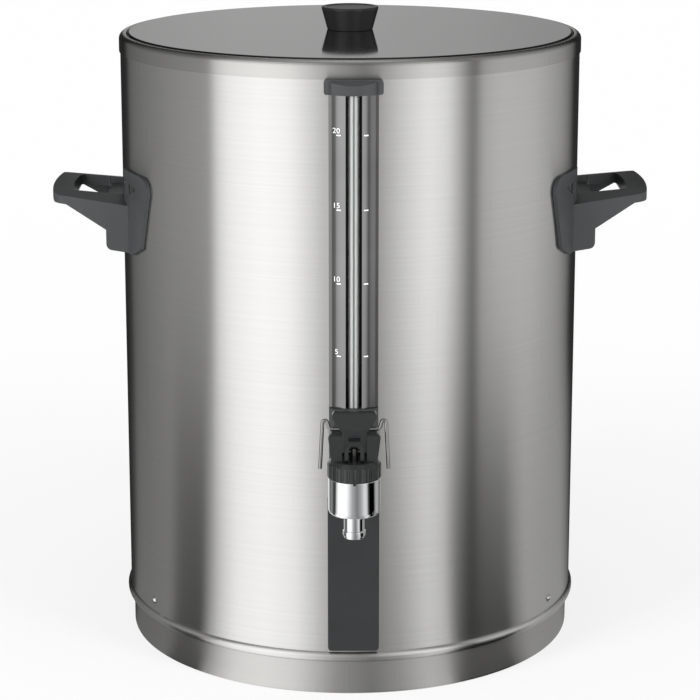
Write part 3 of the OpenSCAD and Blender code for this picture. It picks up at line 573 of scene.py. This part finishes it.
def make_world():
    """White to the eye and in reflections, and a soft fill light for the rest."""
    world = bpy.data.worlds.new("world")
    bpy.context.scene.world = world
    world.use_nodes = True
    tree = world.node_tree
    tree.nodes.clear()
    output = add(tree, "OutputWorld")
    fill_light = fill(add(tree, "Background"), Color=(1, 1, 1, 1), Strength=FILL_LEVEL)
    backdrop = fill(add(tree, "Background"), Color=(1, 1, 1, 1), Strength=1.0)
    mix_shaders(tree, background_ray(tree), fill_light, backdrop, output.inputs["Surface"])


def make_floor():
    """Pale floor that keeps the urn's shadow and goes to white around it."""
    mesh = disc_mesh("floor", FLOOR_RADIUS)
    material, tree, output = empty_material("floor_white")
    paint = fill(add(tree, "BsdfDiffuse"), Color=(0.9, 0.9, 0.9, 1))
    glow = fill(add(tree, "Emission"), Color=(1, 1, 1, 1), Strength=1.0)
    outward = level_ramp(tree, distance_from_middle(tree, FLOOR_FADE), FLOOR_GLOW)
    share = calculate(tree, "MULTIPLY", background_ray(tree), outward)
    mix_shaders(tree, share, paint, glow, output)
    mesh.materials.append(material)
    floor = bpy.data.objects.new("floor", mesh)
    floor.location.z = cad_box[0].z
    bpy.context.scene.collection.objects.link(floor)


# ---- studio: cards that show only in reflections and through glass ----

# The panels stand in a ring round the urn, up to the ceiling
PANEL_RADIUS = 0.9
PANEL_TOP = 1.6

# The strength of every card's glow; all levels lie under it
CARD_PEAK = 2.0

# Degrees from one edge of a band's faces to the next
CARD_STEP = 2

# Brightness round the studio: degrees from the camera towards +X, then a level.
# Two soft lights stand in front and one behind, and the dark flags between them show
# along the urn's outline
PANELS = [
    (-180, 1.10), (-170, 0.95), (-160, 0.03), (-137, 0.02), (-132, 0.16), (-90, 0.36),
    (-66, 0.47), (-63, 1.12), (-56, 1.46), (-40, 1.62), (-28, 1.52), (-8, 0.65), (6, 0.35),
    (22, 0.98), (34, 1.34), (43, 1.22), (56, 0.14), (60, 0.64), (70, 0.75), (92, 0.68),
    (118, 0.41), (131, 0.19), (136, 0.02), (160, 0.03), (170, 0.95), (180, 1.10),
]

# The same for the card on the table
TABLE = [
    (-180, 0.60), (-170, 0.50), (-160, 0.03), (-138, 0.03), (-132, 0.19), (-96, 0.25),
    (-89, 0.08), (-73, 0.04), (-70, 0.38), (-63, 0.85), (-54, 1.26), (-40, 1.34),
    (-26, 1.18), (-8, 0.44), (8, 0.22), (20, 0.38), (33, 0.76), (41, 0.66), (47, 0.08),
    (53, 0.00), (75, 0.00), (81, 0.22), (89, 0.44), (125, 0.38), (137, 0.20), (146, 0.03),
    (160, 0.03), (170, 0.50), (180, 0.60),
]

# Share of a panel's level at its height above the floor, in metres
PANEL_HEIGHTS = [(0.0, 0.8), (0.2, 1.0), (0.45, 1.0), (0.75, 0.6), (1.6, 0.4)]

# Brightness overhead: metres from the middle, then a level
CEILING = [(0.0, 0.85), (0.25, 0.65), (0.5, 0.30), (0.9, 0.16)]

# The table's card: its height over the floor, and its inner edge, which is under the urn
TABLE_LIFT = 0.001
TABLE_INNER = 0.17

# The table card's rays start evenly round the urn. Up to the first angle they follow the
# camera's view, mirrored in the wall, and from the second they run straight outwards
MIRRORED_TO = 84
STRAIGHT_FROM = 168

# The radius of the urn's wall
JACKET_RADIUS = 0.19

# The lid's card: its distance behind the urn, half its width, its lower and upper edge, and
# its brightness as (share of its width, level)
LID_CARD_Y = 0.8
LID_CARD_HALF = 0.3
LID_CARD_HEIGHTS = (0.55, 1.0)
LID_CARD = [
    (0.0, 0.34), (0.15, 0.38), (0.3, 0.408), (0.42, 0.408), (0.65, 0.38), (0.75, 0.367),
    (0.9, 0.325), (1.0, 0.31),
]


def share_of_turn(degrees):
    """0 to 1 for -180 to 180 degrees round the studio."""
    return degrees / 360 + 0.5


def around_studio(tree, levels):
    """The level at a place whose U is its share of a turn."""
    turn = split_xyz(tree, add(tree, "TexCoord").outputs["UV"])["X"]
    stops = [(share_of_turn(degrees), level) for degrees, level in levels]
    return level_ramp(tree, turn, stops, CARD_PEAK)


def table_level(tree):
    """Light of the table's card."""
    return around_studio(tree, TABLE)


def panel_level(tree):
    """Light of the standing panels, which changes round the studio and upwards."""
    z = split_xyz(tree, add(tree, "TexCoord").outputs["Object"])["Z"]
    stops = [(height / PANEL_TOP, share) for height, share in PANEL_HEIGHTS]
    upward = level_ramp(tree, remap(tree, z, 0.0, PANEL_TOP), stops)
    return multiply(tree, around_studio(tree, PANELS), upward)


def ceiling_level(tree):
    """Light of the ceiling, from its middle outwards."""
    stops = [(radius / PANEL_RADIUS, level) for radius, level in CEILING]
    return level_ramp(tree, distance_from_middle(tree, PANEL_RADIUS), stops, CARD_PEAK)


def lid_card_level(tree):
    """Light of the lid's card, from its left edge to its right."""
    x = split_xyz(tree, add(tree, "TexCoord").outputs["Object"])["X"]
    across = remap(tree, x, -LID_CARD_HALF, LID_CARD_HALF)
    return level_ramp(tree, across, LID_CARD, CARD_PEAK)


def stage_card(mesh, level_of, z=0.0):
    """Stages a mesh as a card that glows with the colour that level_of makes."""
    material, tree, output = empty_material(mesh.name)
    glow = fill(add(tree, "Emission"), Strength=CARD_PEAK)
    tree.links.new(level_of(tree), glow.inputs["Color"])
    tree.links.new(glow.outputs[0], output)
    mesh.materials.append(material)
    card = bpy.data.objects.new(mesh.name, mesh)
    card.location.z = z
    for kind in ("camera", "diffuse", "shadow"):
        setattr(card, "visible_" + kind, False)
    bpy.context.scene.collection.objects.link(card)


def towards(degrees, radius, z):
    """The place that far from the axis; 0 degrees is at the camera's side."""
    turn = math.radians(degrees)
    return Vector((radius * math.sin(turn), -radius * math.cos(turn), z))


def mirrored_place(degrees, z):
    """Where the urn's wall, that far round, mirrors the camera's view on the panels."""
    wall = towards(degrees, JACKET_RADIUS, z)
    normal = wall.xy.normalized()
    eye = Vector((0, -CAMERA_DISTANCE))
    ray = (wall.xy - eye).normalized()
    ray -= 2 * ray.dot(normal) * normal
    along = wall.xy.dot(ray)
    reach = -along + math.sqrt(along**2 + PANEL_RADIUS**2 - JACKET_RADIUS**2)
    hit = wall.xy + reach * ray
    return Vector((hit.x, hit.y, z))


def band_mesh(name, rows):
    """Faces between (near point, far point, degrees) rows; U follows the degrees."""
    points = [row[0] for row in rows] + [row[1] for row in rows]
    count = len(rows)
    faces = [(i, count + i, count + i + 1, i + 1) for i in range(count - 1)]
    mesh = bpy.data.meshes.new(name)
    mesh.from_pydata(points, [], faces)
    turn = mesh.uv_layers.new(name="turn")
    for loop in mesh.loops:
        degrees = rows[loop.vertex_index % count][2]
        turn.data[loop.index].uv = (share_of_turn(degrees), 0.5)
    return mesh


def make_panels():
    """The ring of standing panels."""
    low = cad_box[0].z
    rows = [
        (towards(turn, PANEL_RADIUS, low), towards(turn, PANEL_RADIUS, PANEL_TOP), turn)
        for turn in range(-180, 181, CARD_STEP)
    ]
    stage_card(band_mesh("studio_panels", rows), panel_level)


def make_table_card():
    """The card on the table. Its rays are laid so that the urn shows them upright."""
    z = cad_box[0].z + TABLE_LIFT
    rows = []
    for turn in range(-180, 181, CARD_STEP):
        near = towards(turn, TABLE_INNER, z)
        if abs(turn) <= MIRRORED_TO:
            far = mirrored_place(turn, z)
            rows.append((near, far, math.degrees(math.atan2(far.x, -far.y))))
        elif abs(turn) >= STRAIGHT_FROM:
            rows.append((near, towards(turn, PANEL_RADIUS, z), turn))
    stage_card(band_mesh("studio_table", rows), table_level)


def make_ceiling():
    """The disc overhead."""
    stage_card(disc_mesh("studio_ceiling", PANEL_RADIUS), ceiling_level, PANEL_TOP)


def make_lid_card():
    """A grey card behind and above the urn, for the lid to mirror."""
    half, (low, high) = LID_CARD_HALF, LID_CARD_HEIGHTS
    corners = [(-half, low), (half, low), (half, high), (-half, high)]
    mesh = bpy.data.meshes.new("studio_lid_card")
    mesh.from_pydata([(x, LID_CARD_Y, z) for x, z in corners], [], [(0, 1, 2, 3)])
    stage_card(mesh, lid_card_level)


# ---- studio: lamps ----

# Name, place, width and height, and watts
LAMPS = [
    ("key_left", (-2.0, -2.0, 0.9), (1.0, 2.0), 95),
    ("key_right", (2.0, -2.0, 0.9), (0.8, 1.8), 65),
    ("top_soft", (0.0, 0.3, 2.4), (1.6, 1.6), 5),
]

# The place that they all face, inside the urn
LAMP_AIM = (0.0, 0.0, 0.27)


def make_lamps():
    """Soft lamps that light the urn but don't show in its metal."""
    for name, place, size, watts in LAMPS:
        data = bpy.data.lights.new(name, "AREA")
        data.shape = "RECTANGLE"
        data.size, data.size_y = size
        data.energy = watts
        lamp = bpy.data.objects.new(name, data)
        lamp.location = place
        aim = Vector(LAMP_AIM) - Vector(place)
        lamp.rotation_euler = aim.to_track_quat("-Z", "Y").to_euler()
        lamp.visible_camera = False
        lamp.visible_glossy = False
        bpy.context.scene.collection.objects.link(lamp)


make_camera()
dress_nodes()
make_prints()
make_world()
make_floor()
make_panels()
make_table_card()
make_ceiling()
make_lid_card()
make_lamps()
bpy.context.scene.view_settings.view_transform = "Standard"
